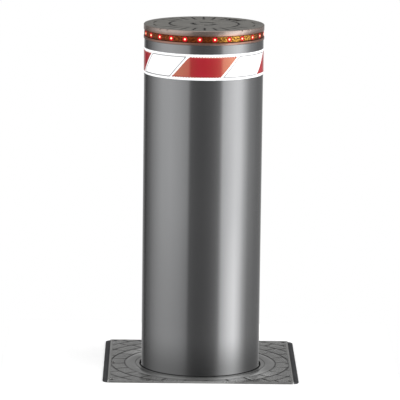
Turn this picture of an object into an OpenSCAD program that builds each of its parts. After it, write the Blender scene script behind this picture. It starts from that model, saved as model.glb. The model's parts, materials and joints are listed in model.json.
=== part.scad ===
// Retractable street bollard in its guide frame, shown raised.
// Z = 0 is the road surface on the column's axis, and -Y is the front.

/* [Column] */
// Outer diameter of the rising tube
tube_d = 275; // [260:5:360]
// Wall of the rising tube
tube_wall = 6; // [4:0.5:10]
// How far the column rises above the cover plate
rise = 800; // [500:50:1000]
// Length of tube that stays below the road when raised
tube_tail = 200; // [180:10:300]

/* [Head] */
// How far the head stands proud of the tube all round
head_lip = 1.5; // [1:0.5:3]
// Thickness of the cap
cap_t = 11.9; // [9:0.1:16]
// Height of the light band
light_h = 15.5; // [12:0.5:24]
// Thickness of the flange under the light band
seat_t = 5.3; // [5:0.1:12]
// Number of lamps round the head
lamp_n = 25; // [12:1:36]
// Side of a lamp body
lamp_s = 5; // [3:0.5:8]
// Length of the release pocket, round the head
pocket_l = 46; // [30:1:60]
// Width of the release pocket, towards the rim
pocket_w = 20; // [18:1:26]
// Radius from the axis to the release spindle
pocket_r = 104; // [100:1:108]
// Compass angle of the release pocket
pocket_angle = 48; // [30:1:60]

/* [Reflective band] */
// Bare tube between the head and the band
band_drop = 21; // [10:1:60]
// Height of the band
band_h = 59; // [40:1:120]
// White border above and below the panels
band_border = 5; // [3:0.5:10]
// Width of a red panel in degrees
red_angle = 47.5; // [30:0.5:60]
// Gap between neighbouring panels in degrees
panel_gap_angle = 2.5; // [1:0.5:5]
// How far a panel leans over its height in degrees
panel_lean = 18; // [0:1:30]
// Pairs of red and white panels
panel_pairs = 4; // [3:1:4]

/* [Cover] */
// Thickness of the cover plate above the road
cover_t = 5; // [4:0.5:12]
// Cover beyond the collar ring at each side
side_margin = 49; // [40:1:90]
// Cover beyond the collar ring at the front
front_margin = 15; // [12:1:80]
// Cover beyond the collar ring at the back
back_margin = 67; // [20:1:120]
// Radius of the cover's corners
corner_r = 18; // [6:1:30]
// Width of the ribbed strip at each side
strip_w = 11; // [8:1:16]
// Width of the collar ring
collar_w = 25; // [18:1:40]
// Height of the collar ring's crown
collar_h = 6; // [5:0.5:10]
// Width of the wiper seal
seal_w = 11; // [8:1:16]
// Gap between the head and the nominal bore
bore_gap = 1; // [0.8:0.1:3]
// Width of one course of the paving pattern
course_w = 33; // [20:1:50]
// Width of a pattern groove
groove_w = 2.6; // [1:0.1:4]
// Depth of a pattern groove
groove_d = 1.4; // [0.5:0.1:2]

/* [Guide frame] */
// Thickness of the top frame
frame_t = 6; // [5:0.5:12]
// Side of a square guide post
post_s = 35; // [30:1:50]
// Wall of a guide post
post_wall = 3; // [2:0.5:5]
// Width of a guide rail
rail_w = 20; // [14:1:26]
// Thickness of a guide rail
rail_t = 5; // [4:0.5:8]
// Width of the square bottom plate
foot_plate_s = 360; // [340:5:480]
// Thickness of the bottom plate
foot_plate_t = 10; // [8:1:16]
// Number of stiffener plates round the posts
stiffener_n = 2; // [1:1:4]
// Screws along each rail
rail_screw_n = 5; // [3:1:7]
// Diameter of the drain hole
drain_d = 60; // [40:5:70]
// Bolt circle of the anchor holes
anchor_pcd = 350; // [345:1:355]
// Diameter of an anchor hole
anchor_d = 14; // [10:1:18]

/* [Ram] */
// Bore of the ram
ram_bore = 63; // [50:1:70]
// Wall of the ram's barrel
ram_wall = 7.5; // [5:0.5:9]
// Diameter of the ram's rod
rod_d = 36; // [25:1:40]
// Length of the piston
piston_l = 30; // [20:1:50]
// Diameter of the pump motor
motor_d = 82; // [60:1:86]
// Length of the pump motor
motor_l = 180; // [120:5:300]
// Diameter of the oil tank
tank_d = 82; // [60:1:86]
// Length of the oil tank
tank_l = 280; // [150:5:400]

/* [Hidden] */
$fn = 96;

// Clearances
moving_gap = 0.3;
running_gap = 0.05;
seat_gap = 0.2;
over = 1;

// Column and head
tube_r = tube_d / 2;
tube_in_r = tube_r - tube_wall;
head_r = tube_r + head_lip;
head_top = cover_t + rise;
cap_z = head_top - cap_t;
seat_top = cap_z - light_h;
tube_top = seat_top - seat_t;
spigot_wall = 10;
spigot_h = 24;
gasket_t = 0.8;
lens_t = 4.3;
lens_inset = 1.2;
lens_r = head_r - lens_inset;
lamp_wall_r = head_r - 13;
lamp_wall_t = 7;
strip_t = 1.2;
strip_margin = 1;
lamp_depth = 3;
lamp_start = -94.6;
strip_r = lamp_wall_r + seat_gap + strip_t;
rim_chamfer = 1;
head_bolt_r = 100;
head_bolt_d = 10;
head_bolt_bite = 5;
boss_r = 9;
pocket_d = 6;
pocket_corner = 4;

// Reflective band
film_t = 0.3;
film_gap = 0.05;
band_top = tube_top - band_drop;
panel_r = tube_r + film_t + 4 * film_gap;
panel_t = 0.2;
panel_h = band_h - 2 * band_border;
panel_step = 4;
panel_slices = 5;
white_angle = 360 / panel_pairs - red_angle - 2 * panel_gap_angle;
red_start = -90 - 32.2;

// Cover, outwards from the bore
bore_r = head_r + bore_gap;
collar_in_r = bore_r + seal_w;
collar_r = collar_in_r + collar_w;
cover_x = collar_r + side_margin;
cover_front = collar_r + front_margin;
cover_back = collar_r + back_margin;
plate_x = cover_x - strip_w - 2 * seat_gap;
pattern_border = 6;
course_steps = [15, 15, 12, 12];
course_shifts = [4, 11.5, 2, 8];
screw_x = cover_x - 22;
screw_front = -(cover_front - 16);
screw_back = cover_back - 14;
cover_screw_d = 6;
cover_screw_head = 11;
cover_screw_head_h = 3;
cover_screw_seat = cover_t - cover_screw_head_h - 0.6;
cover_screw_clearance = 0.8;
screw_pad_r = 9;
strip_h = cover_t - 1;
strip_rib_pitch = 12;
strip_rib_w = 4;
strip_rib_h = 0.8;
strip_rib_inset = 1.5;

// Guide ring and frame
hole_r = bore_r + 18;
skirt_t = 4;
guide_top = -8;
guide_wide_gap = 0.6;
guide_step = cover_t - (cap_t + light_h + seat_t) - 2.3;
guide_narrow_h = 38;
guide_low = guide_step - guide_narrow_h;
skirt_low = guide_low - skirt_t;
guide_screw_z = guide_step - 14;
guide_screw_bite = 10;
guide_in_r = panel_r + panel_t + moving_gap;
guide_r = hole_r - seat_gap;
guide_screw_d = 5;
rail_face_r = hole_r - 0.5;
post_in_r = rail_face_r + rail_t;

// Levels of the moving foot and the fixed pit floor
spider_t = 12;
spider_low = -tube_tail - spider_t;
gland_drop = 23;
gland_low = spider_low - gland_drop;
foot_gap = 15;
rod_foot_h = 35;
foot_top = gland_low - rise - foot_gap;
floor_z = foot_top - rod_foot_h;
pit_low = floor_z - foot_plate_t;
spider_r = rail_face_r - 2.5;
spider_in_r = tube_in_r - 12;
shoe_h = 40;
shoe_w = 48;
shoe_top = -tube_tail + shoe_h;
cheek_r = post_in_r - 1.5;
stiffener_rim = 14;
stiffener_t = 6;
rail_low = floor_z + 15;
rail_screw_d = 5;
rail_screw_l = 9;
stop_h = 40;
stop_pad_h = 10;
stop_in_r = tube_r + 4.5;
stop_w = 40;
bump_r = 18;
bump_circle = tube_r + 2.5;
drain_circle = 100;
strainer_lip = 6;
strainer_t = 4;

// Ram, with its rod standing on the pit floor and its barrel riding in the tube
barrel_r = ram_bore / 2 + ram_wall;
rod_r = rod_d / 2;
barrel_low = spider_low - 3;
gland_plug = 15;
piston_low = barrel_low + gland_plug + 10;
bulkhead_t = 10;
bulkhead_low = tube_top - 72;
ram_head_h = 45;
barrel_top = bulkhead_low - ram_head_h;
rod_foot_r = 32;
rod_flange_r = 62;
rod_flange_t = 12;
foot_bolt_circle = 48;
foot_bolt_d = 12;

// Power unit
unit_r = (barrel_r + tube_in_r) / 2;
valve_l = 60;
valve_w = 40;
valve_h = 100;
spindle_r = 6;
spindle_hex_r = 8;
spindle_bite = 28;
pipe_r = 5;
pipe_drop = 25;
unit_screw_d = 8;

// Wiring box on the back left post
box_w = 60;
box_h = 90;
box_depth = 38;
box_wall = 3;
lid_t = 3;
box_z = -190;
box_angle = 135;
gland_hole_r = 8;
gland_bore_r = 6.5;
gland_nut_r = 13;
gland_nut_h = 9;

// Shared shapes
module ring(r_out, r_in, low, high) {
    difference() {
        translate([0, 0, low]) cylinder(r = r_out, h = high - low);
        translate([0, 0, low - over]) cylinder(r = r_in, h = high - low + 2 * over);
    }
}

module around(count, start = 0) {
    for (i = [0 : count - 1]) rotate([0, 0, start + i * 360 / count]) children();
}

module rounded_plate(x0, x1, y0, y1, r) {
    translate([x0 + r, y0]) square([x1 - x0 - 2 * r, y1 - y0]);
    translate([x0, y0 + r]) square([x1 - x0, y1 - y0 - 2 * r]);
    for (x = [x0 + r, x1 - r], y = [y0 + r, y1 - r]) translate([x, y]) circle(r);
}

// A screw that hangs from z = 0, with a round head above it and a hexagon socket
module cap_screw(d, length, head_d, head_h) {
    difference() {
        union() {
            translate([0, 0, -length]) cylinder(d = d, h = length + head_h / 2);
            cylinder(d = head_d, h = head_h);
        }
        translate([0, 0, head_h / 2]) cylinder(d = d * 0.9, h = head_h, $fn = 6);
    }
}

module cover_screw_places() {
    for (x = [-screw_x, screw_x], y = [screw_front, 0, screw_back])
        translate([x, y, 0]) children();
}

module cover_outline() {
    rounded_plate(-cover_x, cover_x, -cover_front, cover_back, corner_r);
}

// Straight run of a shape at each guide post, with +X pointing away from the axis
module at_posts() {
    around(4, 45) children();
}

// Cover and frame
module top_frame() {
    color("dimgray")
    difference() {
        union() {
            translate([0, 0, -frame_t]) linear_extrude(frame_t) cover_outline();
            ring(hole_r + skirt_t, hole_r, skirt_low, -frame_t / 2);
        }
        translate([0, 0, -frame_t - over]) cylinder(r = hole_r, h = frame_t + 2 * over);
        around(4) translate([anchor_pcd / 2, 0, -frame_t - over])
            cylinder(d = anchor_d, h = frame_t + 2 * over);
        cover_screw_places() translate([0, 0, -frame_t - over])
            cylinder(d = cover_screw_d + 2 * running_gap, h = frame_t + 2 * over);
        around(8, 22.5) translate([hole_r - over, 0, guide_screw_z])
            rotate([0, 90, 0]) cylinder(d = guide_screw_d + 0.2, h = skirt_t + 2 * over);
    }
}

function in_pattern(p) = abs(p[0]) < plate_x - pattern_border
    && p[1] > pattern_border - cover_front && p[1] < cover_back - pattern_border;
function polar(r, a) = [r * cos(a), r * sin(a)];

module paving_lines() {
    for (k = [1 : 4]) difference() {
        circle(r = collar_r + k * course_w + groove_w / 2);
        circle(r = collar_r + k * course_w - groove_w / 2);
    }
    for (k = [0 : 3], a = [course_shifts[k] : course_steps[k] : 360])
        if (in_pattern(polar(collar_r + (k + 0.3) * course_w, a)))
            rotate([0, 0, a]) translate([collar_r + k * course_w, -groove_w / 2])
                square([course_w, groove_w]);
}

module cover_plate() {
    color("gray")
    difference() {
        linear_extrude(cover_t) difference() {
            intersection() {
                cover_outline();
                translate([-plate_x, -cover_front]) square([2 * plate_x, cover_front + cover_back]);
            }
            circle(r = collar_r + seat_gap);
        }
        translate([0, 0, cover_t - groove_d]) linear_extrude(groove_d + over) difference() {
            intersection() {
                paving_lines();
                translate([pattern_border - plate_x, pattern_border - cover_front])
                    square([2 * (plate_x - pattern_border),
                        cover_front + cover_back - 2 * pattern_border]);
            }
            for (x = [-screw_x, screw_x], y = [screw_front, 0, screw_back])
                translate([x, y]) circle(r = screw_pad_r);
        }
        cover_screw_places() {
            translate([0, 0, -over])
                cylinder(d = cover_screw_d + cover_screw_clearance, h = cover_t + 2 * over);
            translate([0, 0, cover_screw_seat])
                cylinder(d = cover_screw_head + cover_screw_clearance, h = cover_screw_head_h + 2);
        }
    }
}

module side_strips() {
    color("black")
    intersection() {
        linear_extrude(cover_t) cover_outline();
        for (side = [-1, 1]) union() {
            translate([side > 0 ? cover_x - strip_w : -cover_x, -cover_front, 0])
                cube([strip_w, cover_front + cover_back, strip_h - strip_rib_h]);
            for (y = [strip_rib_pitch - cover_front + corner_r / 2 : strip_rib_pitch
                    : cover_back - corner_r])
                translate([side * (cover_x - strip_w / 2), y, strip_h - strip_rib_h - 0.5])
                    rotate([0, 0, side * 35])
                        translate([-strip_w / 2 + strip_rib_inset, -strip_rib_w / 2, 0])
                            cube([strip_w - 2 * strip_rib_inset, strip_rib_w, strip_rib_h + 0.5]);
        }
    }
}

module cover_screws() {
    color("dimgray")
    cover_screw_places() translate([0, 0, cover_screw_seat])
        cap_screw(cover_screw_d, cover_screw_seat + frame_t,
            cover_screw_head, cover_screw_head_h);
}

module collar_ring() {
    sag = 2;
    half = collar_w / 2;
    dome_r = (half * half + sag * sag) / (2 * sag);
    color("darkgray")
    rotate_extrude() intersection() {
        translate([collar_in_r, 0]) square([collar_w, collar_h + over]);
        translate([collar_in_r + half, collar_h - dome_r]) circle(r = dome_r);
    }
}

module wiper_seal() {
    lip_r = head_r + moving_gap;
    top = cover_t - 1.6;
    foot_r = hole_r - seat_gap;
    body_r = collar_in_r - seat_gap;
    color("black")
    rotate_extrude() polygon([[lip_r, 1.2], [lip_r, 2.2], [bore_r + 2, top], [body_r, top],
        [body_r, -seat_gap], [foot_r, -seat_gap], [foot_r, guide_top + seat_gap],
        [bore_r + 5, guide_top + seat_gap], [bore_r + 5, 0], [bore_r + 1, 0]]);
}

module guide_ring() {
    color("ivory")
    difference() {
        union() {
            ring(guide_r, guide_in_r, guide_low, guide_step);
            ring(guide_r, head_r + guide_wide_gap, guide_step - over, guide_top);
        }
        around(8, 22.5) translate([guide_r - guide_screw_bite - 2, 0, guide_screw_z])
            rotate([0, 90, 0]) cylinder(d = guide_screw_d + 2 * running_gap, h = guide_screw_bite + 4);
    }
}

module guide_ring_screws() {
    color("silver")
    around(8, 22.5) translate([hole_r + skirt_t, 0, guide_screw_z])
        rotate([0, 90, 0]) cap_screw(guide_screw_d, skirt_t + guide_screw_bite, 8.5, 3.5);
}

// Pit frame
module guide_posts() {
    color("slategray")
    at_posts() difference() {
        translate([post_in_r, -post_s / 2, floor_z])
            cube([post_s, post_s, -frame_t - floor_z]);
        translate([post_in_r + post_wall, -post_s / 2 + post_wall, floor_z - over])
            cube([post_s - 2 * post_wall, post_s - 2 * post_wall, 2 * over - frame_t - floor_z]);
        rail_screw_holes(post_in_r - over, post_wall + 2 * over);
    }
}

module rail_screw_holes(from_r, depth) {
    for (i = [0 : rail_screw_n - 1])
        translate([from_r, 0, rail_screw_z(i)])
            rotate([0, 90, 0]) cylinder(d = rail_screw_d + 2 * running_gap, h = depth);
}

function rail_screw_z(i) = rail_low + 30 + i * (shoe_top - rail_low - 60) / (rail_screw_n - 1);

module guide_rails() {
    color("silver")
    at_posts() difference() {
        translate([rail_face_r, -rail_w / 2, rail_low]) cube([rail_t, rail_w, shoe_top - rail_low]);
        rail_screw_holes(rail_face_r - over, rail_t + 2 * over);
    }
}

module rail_screws() {
    color("gray")
    at_posts() for (i = [0 : rail_screw_n - 1])
        translate([rail_face_r + 0.5, 0, rail_screw_z(i)])
            rotate([0, 90, 0]) difference() {
                cylinder(d = rail_screw_d, h = rail_screw_l);
                translate([0, 0, -over]) cylinder(d = 3, h = 2 + over, $fn = 6);
            }
}

module stiffener_plates() {
    inner_r = post_in_r + 2;
    plate_half = inner_r + stiffener_rim;
    gap = (floor_z + skirt_low) / (stiffener_n + 1);
    color("slategray")
    for (i = [1 : stiffener_n]) translate([0, 0, i * gap]) difference() {
        translate([-plate_half, -plate_half, 0])
            cube([2 * plate_half, 2 * plate_half, stiffener_t]);
        translate([0, 0, -over]) cylinder(r = inner_r, h = stiffener_t + 2 * over);
        at_posts() translate([post_in_r - 5, -post_s / 2 - seat_gap, -over])
            cube([post_s + 5 + seat_gap, post_s + 2 * seat_gap, stiffener_t + 2 * over]);
    }
}

module stop_blocks() {
    low = shoe_top + stop_pad_h + moving_gap;
    color("dimgray")
    at_posts() translate([stop_in_r, -stop_w / 2, low]) cube([post_in_r - stop_in_r, stop_w, stop_h]);
}

module stop_pads() {
    color("black")
    at_posts() translate([stop_in_r, -stop_w / 2, shoe_top + moving_gap])
        cube([rail_face_r - stop_in_r, stop_w, stop_pad_h]);
}

module bottom_plate() {
    color("slategray")
    difference() {
        translate([-foot_plate_s / 2, -foot_plate_s / 2, pit_low])
            cube([foot_plate_s, foot_plate_s, foot_plate_t]);
        rotate([0, 0, 225]) translate([drain_circle, 0, pit_low - over])
            cylinder(d = drain_d, h = foot_plate_t + 2 * over);
        around(4, 45) translate([foot_bolt_circle, 0, pit_low - over])
            cylinder(d = foot_bolt_d + 2 * running_gap, h = foot_plate_t + 2 * over);
    }
}

module drain_strainer() {
    r = drain_d / 2 + strainer_lip;
    color("silver")
    rotate([0, 0, 225]) translate([drain_circle, 0, floor_z]) difference() {
        cylinder(r = r, h = strainer_t);
        for (ring_r = [0, 12, 23], a = [0 : ring_r > 0 ? 720 / ring_r : 360 : 359])
            rotate([0, 0, a]) translate([ring_r * drain_d / 60, 0, -over])
                cylinder(r = 3.5, h = strainer_t + 2 * over);
    }
}

module bump_stops() {
    color("black")
    around(4) translate([bump_circle, 0, floor_z]) difference() {
        union() {
            cylinder(r = bump_r, h = 12);
            cylinder(r = bump_r - 4, h = spider_low - rise - moving_gap - floor_z);
        }
        translate([0, 0, spider_low - rise - floor_z - 20]) cylinder(r = 5, h = 30);
    }
}

module rod_foot() {
    color("slategray")
    translate([0, 0, floor_z]) difference() {
        union() {
            cylinder(r = rod_flange_r, h = rod_flange_t);
            cylinder(r = rod_foot_r, h = rod_foot_h);
        }
        translate([0, 0, 6]) cylinder(r = rod_r + running_gap, h = rod_foot_h);
        around(4, 45) translate([foot_bolt_circle, 0, -over])
            cylinder(d = foot_bolt_d + 1, h = rod_flange_t + 2 * over);
    }
}

module foot_bolts() {
    color("silver")
    around(4, 45) translate([foot_bolt_circle, 0, floor_z + rod_flange_t])
        cap_screw(foot_bolt_d, rod_flange_t + foot_plate_t, 18, 10);
}

module ram_rod() {
    low = floor_z + 6;
    color("lightgray")
    translate([0, 0, low]) cylinder(r = rod_r, h = piston_low - low);
}

module ram_piston() {
    color("goldenrod")
    translate([0, 0, piston_low]) difference() {
        cylinder(r = ram_bore / 2 - running_gap, h = piston_l);
        for (z = [7, piston_l - 11]) ring(ram_bore / 2 + over, ram_bore / 2 - 3, z, z + 4);
    }
}

module limit_switches() {
    color("royalblue")
    rotate([0, 0, 225]) for (z = [0, -rise])
        translate([post_in_r + 4, post_s / 2, -tube_tail + z - 10]) {
            cube([24, 20, 50]);
            translate([-4, 10, 20]) cube([4 + over, 8, 10]);
        }
}

module junction_box() {
    color("lightgray")
    rotate([0, 0, box_angle]) translate([post_in_r + post_s, -box_w / 2, box_z]) difference() {
        cube([box_depth, box_w, box_h]);
        translate([box_wall, box_wall, box_wall])
            cube([box_depth, box_w - 2 * box_wall, box_h - 2 * box_wall]);
        for (y = [box_w / 4, 3 * box_w / 4])
            translate([box_depth / 2, y, -over])
                cylinder(r = gland_hole_r + running_gap, h = box_wall + 2 * over);
    }
}

module junction_lid() {
    color("gainsboro")
    rotate([0, 0, box_angle])
        translate([post_in_r + post_s + box_depth, -box_w / 2, box_z]) cube([lid_t, box_w, box_h]);
}

module cable_glands() {
    color("dimgray")
    rotate([0, 0, box_angle]) for (y = [-box_w / 4, box_w / 4])
        translate([post_in_r + post_s + box_depth / 2, y, box_z]) difference() {
            union() {
                translate([0, 0, -gland_nut_h]) cylinder(r = gland_nut_r, h = gland_nut_h, $fn = 6);
                translate([0, 0, -gland_nut_h - 10]) cylinder(r1 = 9, r2 = 11, h = 10);
                cylinder(r = gland_hole_r, h = box_wall + 6);
            }
            translate([0, 0, -30]) cylinder(r = gland_bore_r, h = 60);
        }
}

// Rising column
module bollard_tube() {
    color("dimgray") ring(tube_r, tube_in_r, -tube_tail, tube_top);
}

module bottom_spider() {
    hub_r = barrel_r + 10;
    color("slategray")
    difference() {
        union() {
            ring(spider_r, spider_in_r, spider_low, -tube_tail);
            difference() {
                translate([0, 0, spider_low]) cylinder(r = hub_r, h = spider_t);
                translate([0, 0, spider_low - over])
                    cylinder(r = barrel_r + seat_gap, h = spider_t + 2 * over);
            }
            around(4) translate([barrel_r + 5, -12, spider_low])
                cube([spider_in_r - barrel_r, 24, spider_t]);
        }
        shoe_screw_places() cylinder(d = 6 + 2 * running_gap, h = 3 * spider_t, center = true);
    }
}

// Two screws under each shoe, measured on the spider's underside
module shoe_screw_places() {
    at_posts() for (y = [-17, 17])
        translate([(tube_r + rail_face_r) / 2 + 1, y, spider_low]) children();
}

module guide_shoes() {
    color("ivory")
    difference() {
        at_posts() difference() {
            translate([tube_r + over, -shoe_w / 2, -tube_tail])
                cube([cheek_r - tube_r - over, shoe_w, shoe_h]);
            translate([rail_face_r - moving_gap, -rail_w / 2 - moving_gap, -tube_tail - over])
                cube([rail_t + over, rail_w + 2 * moving_gap, shoe_h + 2 * over]);
        }
        translate([0, 0, -tube_tail - over]) cylinder(r = tube_r + seat_gap, h = shoe_h + 2 * over);
        shoe_screw_places() cylinder(d = 6 + 2 * running_gap, h = 2 * spider_t + 10);
    }
}

module shoe_screws() {
    color("silver")
    shoe_screw_places() mirror([0, 0, 1]) cap_screw(6, spider_t + 18, 10, 5);
}

module sensor_magnet() {
    color("firebrick")
    rotate([0, 0, 241]) translate([tube_r + over, -7, -tube_tail])
        cube([spider_r - tube_r - 2, 14, 10]);
}

module ram_barrel() {
    color("darkslategray") ring(barrel_r, ram_bore / 2, barrel_low, barrel_top);
}

module ram_gland() {
    color("slategray")
    difference() {
        union() {
            translate([0, 0, gland_low]) cylinder(r = barrel_r + 4, h = barrel_low - gland_low);
            translate([0, 0, gland_low]) cylinder(r = ram_bore / 2 - seat_gap,
                h = barrel_low + gland_plug - gland_low);
        }
        translate([0, 0, gland_low - over])
            cylinder(r = rod_r + running_gap, h = gland_plug + 50);
    }
}

module ram_head() {
    color("slategray")
    difference() {
        translate([0, 0, barrel_top]) cylinder(r = barrel_r, h = ram_head_h);
        unit_screw_places() translate([0, 0, -bulkhead_t - 15])
            cylinder(d = unit_screw_d + 2 * running_gap, h = 20);
        rotate([0, 0, pocket_angle]) translate([barrel_r - 12, 0, bulkhead_low - pipe_drop])
            rotate([0, 90, 0]) cylinder(r = pipe_r + running_gap, h = 20);
    }
}

module bulkhead() {
    color("slategray")
    difference() {
        translate([0, 0, bulkhead_low]) cylinder(r = tube_in_r - seat_gap, h = bulkhead_t);
        around(4) translate([head_bolt_r, 0, bulkhead_low - over])
            cylinder(d = head_bolt_d + 1, h = bulkhead_t + 2 * over);
        spindle_hole(bulkhead_low, bulkhead_t);
        unit_screw_places() translate([0, 0, -bulkhead_t - over])
            cylinder(d = unit_screw_d + 1, h = bulkhead_t + 2 * over);
    }
}

module spindle_hole(low, depth) {
    rotate([0, 0, pocket_angle]) translate([pocket_r, 0, low - over])
        cylinder(r = spindle_r + moving_gap, h = depth + 2 * over);
}

// Screws through the bulkhead into the motor, the tank and the ram's head
module unit_screw_places() {
    for (a = [-90, 180]) rotate([0, 0, pocket_angle + a]) for (y = [-18, 18])
        translate([unit_r, y, bulkhead_low + bulkhead_t]) children();
    around(3, pocket_angle + 30) translate([barrel_r - 15, 0, bulkhead_low + bulkhead_t]) children();
}

module unit_cylinder(angle, d, length) {
    difference() {
        rotate([0, 0, pocket_angle + angle]) translate([unit_r, 0, bulkhead_low - length])
            cylinder(d = d, h = length);
        unit_screw_places() translate([0, 0, -bulkhead_t - 15])
            cylinder(d = unit_screw_d + 2 * running_gap, h = 20);
    }
}

module pump_motor() {
    color("steelblue") unit_cylinder(-90, motor_d, motor_l);
}

module oil_tank() {
    color("whitesmoke") unit_cylinder(180, tank_d, tank_l);
}

module valve_block() {
    color("gold")
    rotate([0, 0, pocket_angle]) difference() {
        translate([pocket_r - valve_w / 2, -valve_l / 2, bulkhead_low - valve_h])
            cube([valve_w, valve_l, valve_h]);
        translate([pocket_r, 0, bulkhead_low - spindle_bite - 2])
            cylinder(r = spindle_r + running_gap, h = spindle_bite + 10);
        translate([pocket_r - valve_w / 2 - over, 0, bulkhead_low - pipe_drop])
            rotate([0, 90, 0]) cylinder(r = pipe_r + running_gap, h = 9);
    }
}

module oil_pipe() {
    from_r = barrel_r - 11;
    to_r = pocket_r - valve_w / 2 + 7;
    color("silver")
    rotate([0, 0, pocket_angle]) translate([from_r, 0, bulkhead_low - pipe_drop])
        rotate([0, 90, 0]) cylinder(r = pipe_r, h = to_r - from_r);
}

module unit_screws() {
    color("gray") unit_screw_places() cap_screw(unit_screw_d, bulkhead_t + 12, 13, 6);
}

// Head
module head_seat() {
    color("rosybrown")
    difference() {
        union() {
            ring(head_r, 60, tube_top, seat_top);
            ring(tube_in_r - seat_gap, tube_in_r - spigot_wall, tube_top - spigot_h, tube_top + over);
            ring(lamp_wall_r, lamp_wall_r - lamp_wall_t, seat_top - over, cap_z);
        }
        around(4) translate([head_bolt_r, 0, tube_top - over])
            cylinder(d = head_bolt_d + 1, h = seat_t + 2 * over);
        spindle_hole(tube_top, seat_t);
    }
}

module lens_gaskets() {
    color("black") for (z = [seat_top, cap_z - gasket_t])
        ring(lens_r - 0.4, lens_r - lens_t - 1, z, z + gasket_t);
}

module light_lens() {
    color("darkorange")
    ring(lens_r, lens_r - lens_t, seat_top + gasket_t, cap_z - gasket_t);
}

module lamp_strip() {
    color("darkgreen")
    ring(strip_r, strip_r - strip_t, seat_top + strip_margin, cap_z - strip_margin);
}

module lamps() {
    color("red")
    around(lamp_n, lamp_start)
        translate([strip_r + running_gap, -lamp_s / 2, (seat_top + cap_z - lamp_s) / 2])
            cube([lamp_depth, lamp_s, lamp_s]);
}

module arc_line(r, from_a, to_a, w) {
    points = 12;
    span = to_a - from_a;
    polygon(concat([for (i = [0 : points]) polar(r - w / 2, from_a + i * span / points)],
        [for (i = [points : -1 : 0]) polar(r + w / 2, from_a + i * span / points)]));
}

module cap_lines() {
    for (a = [0, 180]) {
        arc_line(80, a - 38, a + 38, groove_w + 0.6);
        arc_line(117, a - 22, a - 6, groove_w + 0.6);
        arc_line(117, a + 6, a + 22, groove_w + 0.6);
    }
    for (side = [90, 270], i = [-4 : 4])
        rotate([0, 0, side + 13.5 * i]) {
            reach = abs(i) % 2 == 0 ? 122 : 112;
            translate([88, -groove_w / 2]) square([reach - 88, groove_w]);
        }
    for (a = [30 : 120 : 270]) {
        arc_line(26, a, a + 80, groove_w + 1.2);
        rotate([0, 0, a + 100]) translate([12, -groove_w / 2]) square([9, groove_w]);
    }
}

module pocket_outline() {
    rotate([0, 0, pocket_angle]) rounded_plate(pocket_r - pocket_w / 2, pocket_r + pocket_w / 2,
        -pocket_l / 2, pocket_l / 2, pocket_corner);
}

module head_cap() {
    color("darkgray")
    difference() {
        union() {
            rotate_extrude() polygon([[0, cap_z], [head_r, cap_z], [head_r, head_top - rim_chamfer],
                [head_r - rim_chamfer, head_top], [0, head_top]]);
            around(4) translate([head_bolt_r, 0, seat_top])
                cylinder(r = boss_r, h = light_h + over);
        }
        translate([0, 0, head_top - groove_d]) linear_extrude(groove_d + over) difference() {
            cap_lines();
            circle(r = 8);
        }
        translate([0, 0, head_top - pocket_d]) linear_extrude(pocket_d + over) pocket_outline();
        spindle_hole(cap_z, cap_t);
        around(4) translate([head_bolt_r, 0, seat_top - over])
            cylinder(r = head_bolt_d / 2 + running_gap, h = cap_z + head_bolt_bite - seat_top + over);
        for (a = [-38, 38, -47, 47]) rotate([0, 0, -90 + a])
            translate([head_r - 2.5, -1.2, head_top - 3]) cube([4, 2.4, 4]);
    }
}

module head_bolts() {
    length = cap_z + head_bolt_bite - 1 - bulkhead_low;
    color("silver")
    around(4) translate([head_bolt_r, 0, bulkhead_low]) mirror([0, 0, 1])
        cap_screw(head_bolt_d, length, 16, 8);
}

// Reflective band
module reflective_band() {
    color("white")
    ring(tube_r + film_gap + film_t, tube_r + film_gap, band_top - band_h, band_top);
}

function sector(r_in, r_out, angle) = let (n = ceil(angle / panel_step)) concat(
    [for (i = [0 : n]) polar(r_in, i * angle / n)],
    [for (i = [n : -1 : 0]) polar(r_out, i * angle / n)]);

module panels(start, angle) {
    around(panel_pairs, start) translate([0, 0, band_top - band_border - panel_h])
        linear_extrude(height = panel_h, twist = -panel_lean, slices = panel_slices)
            polygon(sector(panel_r, panel_r + panel_t, angle));
}

module red_panels() {
    color("firebrick") panels(red_start, red_angle);
}

module white_panels() {
    color("whitesmoke") panels(red_start + red_angle + panel_gap_angle, white_angle);
}

// Manual release, turned with a key from above
module release_spindle() {
    floor_top = head_top - pocket_d;
    low = bulkhead_low - spindle_bite;
    color("goldenrod")
    rotate([0, 0, pocket_angle]) translate([pocket_r, 0, 0]) difference() {
        union() {
            translate([0, 0, low]) cylinder(r = spindle_r, h = floor_top - low + 1);
            translate([0, 0, floor_top + moving_gap]) cylinder(r = spindle_hex_r, h = 4.2, $fn = 6);
        }
        translate([0, 0, floor_top + 2]) cylinder(r = 3.5, h = 6, $fn = 3);
    }
}

top_frame();
cover_plate();
side_strips();
cover_screws();
collar_ring();
wiper_seal();
guide_ring();
guide_ring_screws();
guide_posts();
guide_rails();
rail_screws();
stiffener_plates();
stop_blocks();
stop_pads();
bottom_plate();
drain_strainer();
bump_stops();
rod_foot();
foot_bolts();
ram_rod();
ram_piston();
limit_switches();
junction_box();
junction_lid();
cable_glands();
bollard_tube();
bottom_spider();
guide_shoes();
shoe_screws();
sensor_magnet();
ram_barrel();
ram_gland();
ram_head();
bulkhead();
pump_motor();
oil_tank();
valve_block();
oil_pipe();
unit_screws();
head_seat();
lens_gaskets();
light_lens();
lamp_strip();
lamps();
head_cap();
head_bolts();
reflective_band();
red_panels();
white_panels();
release_spindle();
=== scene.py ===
import bpy
import json
import math
import numpy as np
from mathutils import Matrix, Vector

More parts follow.
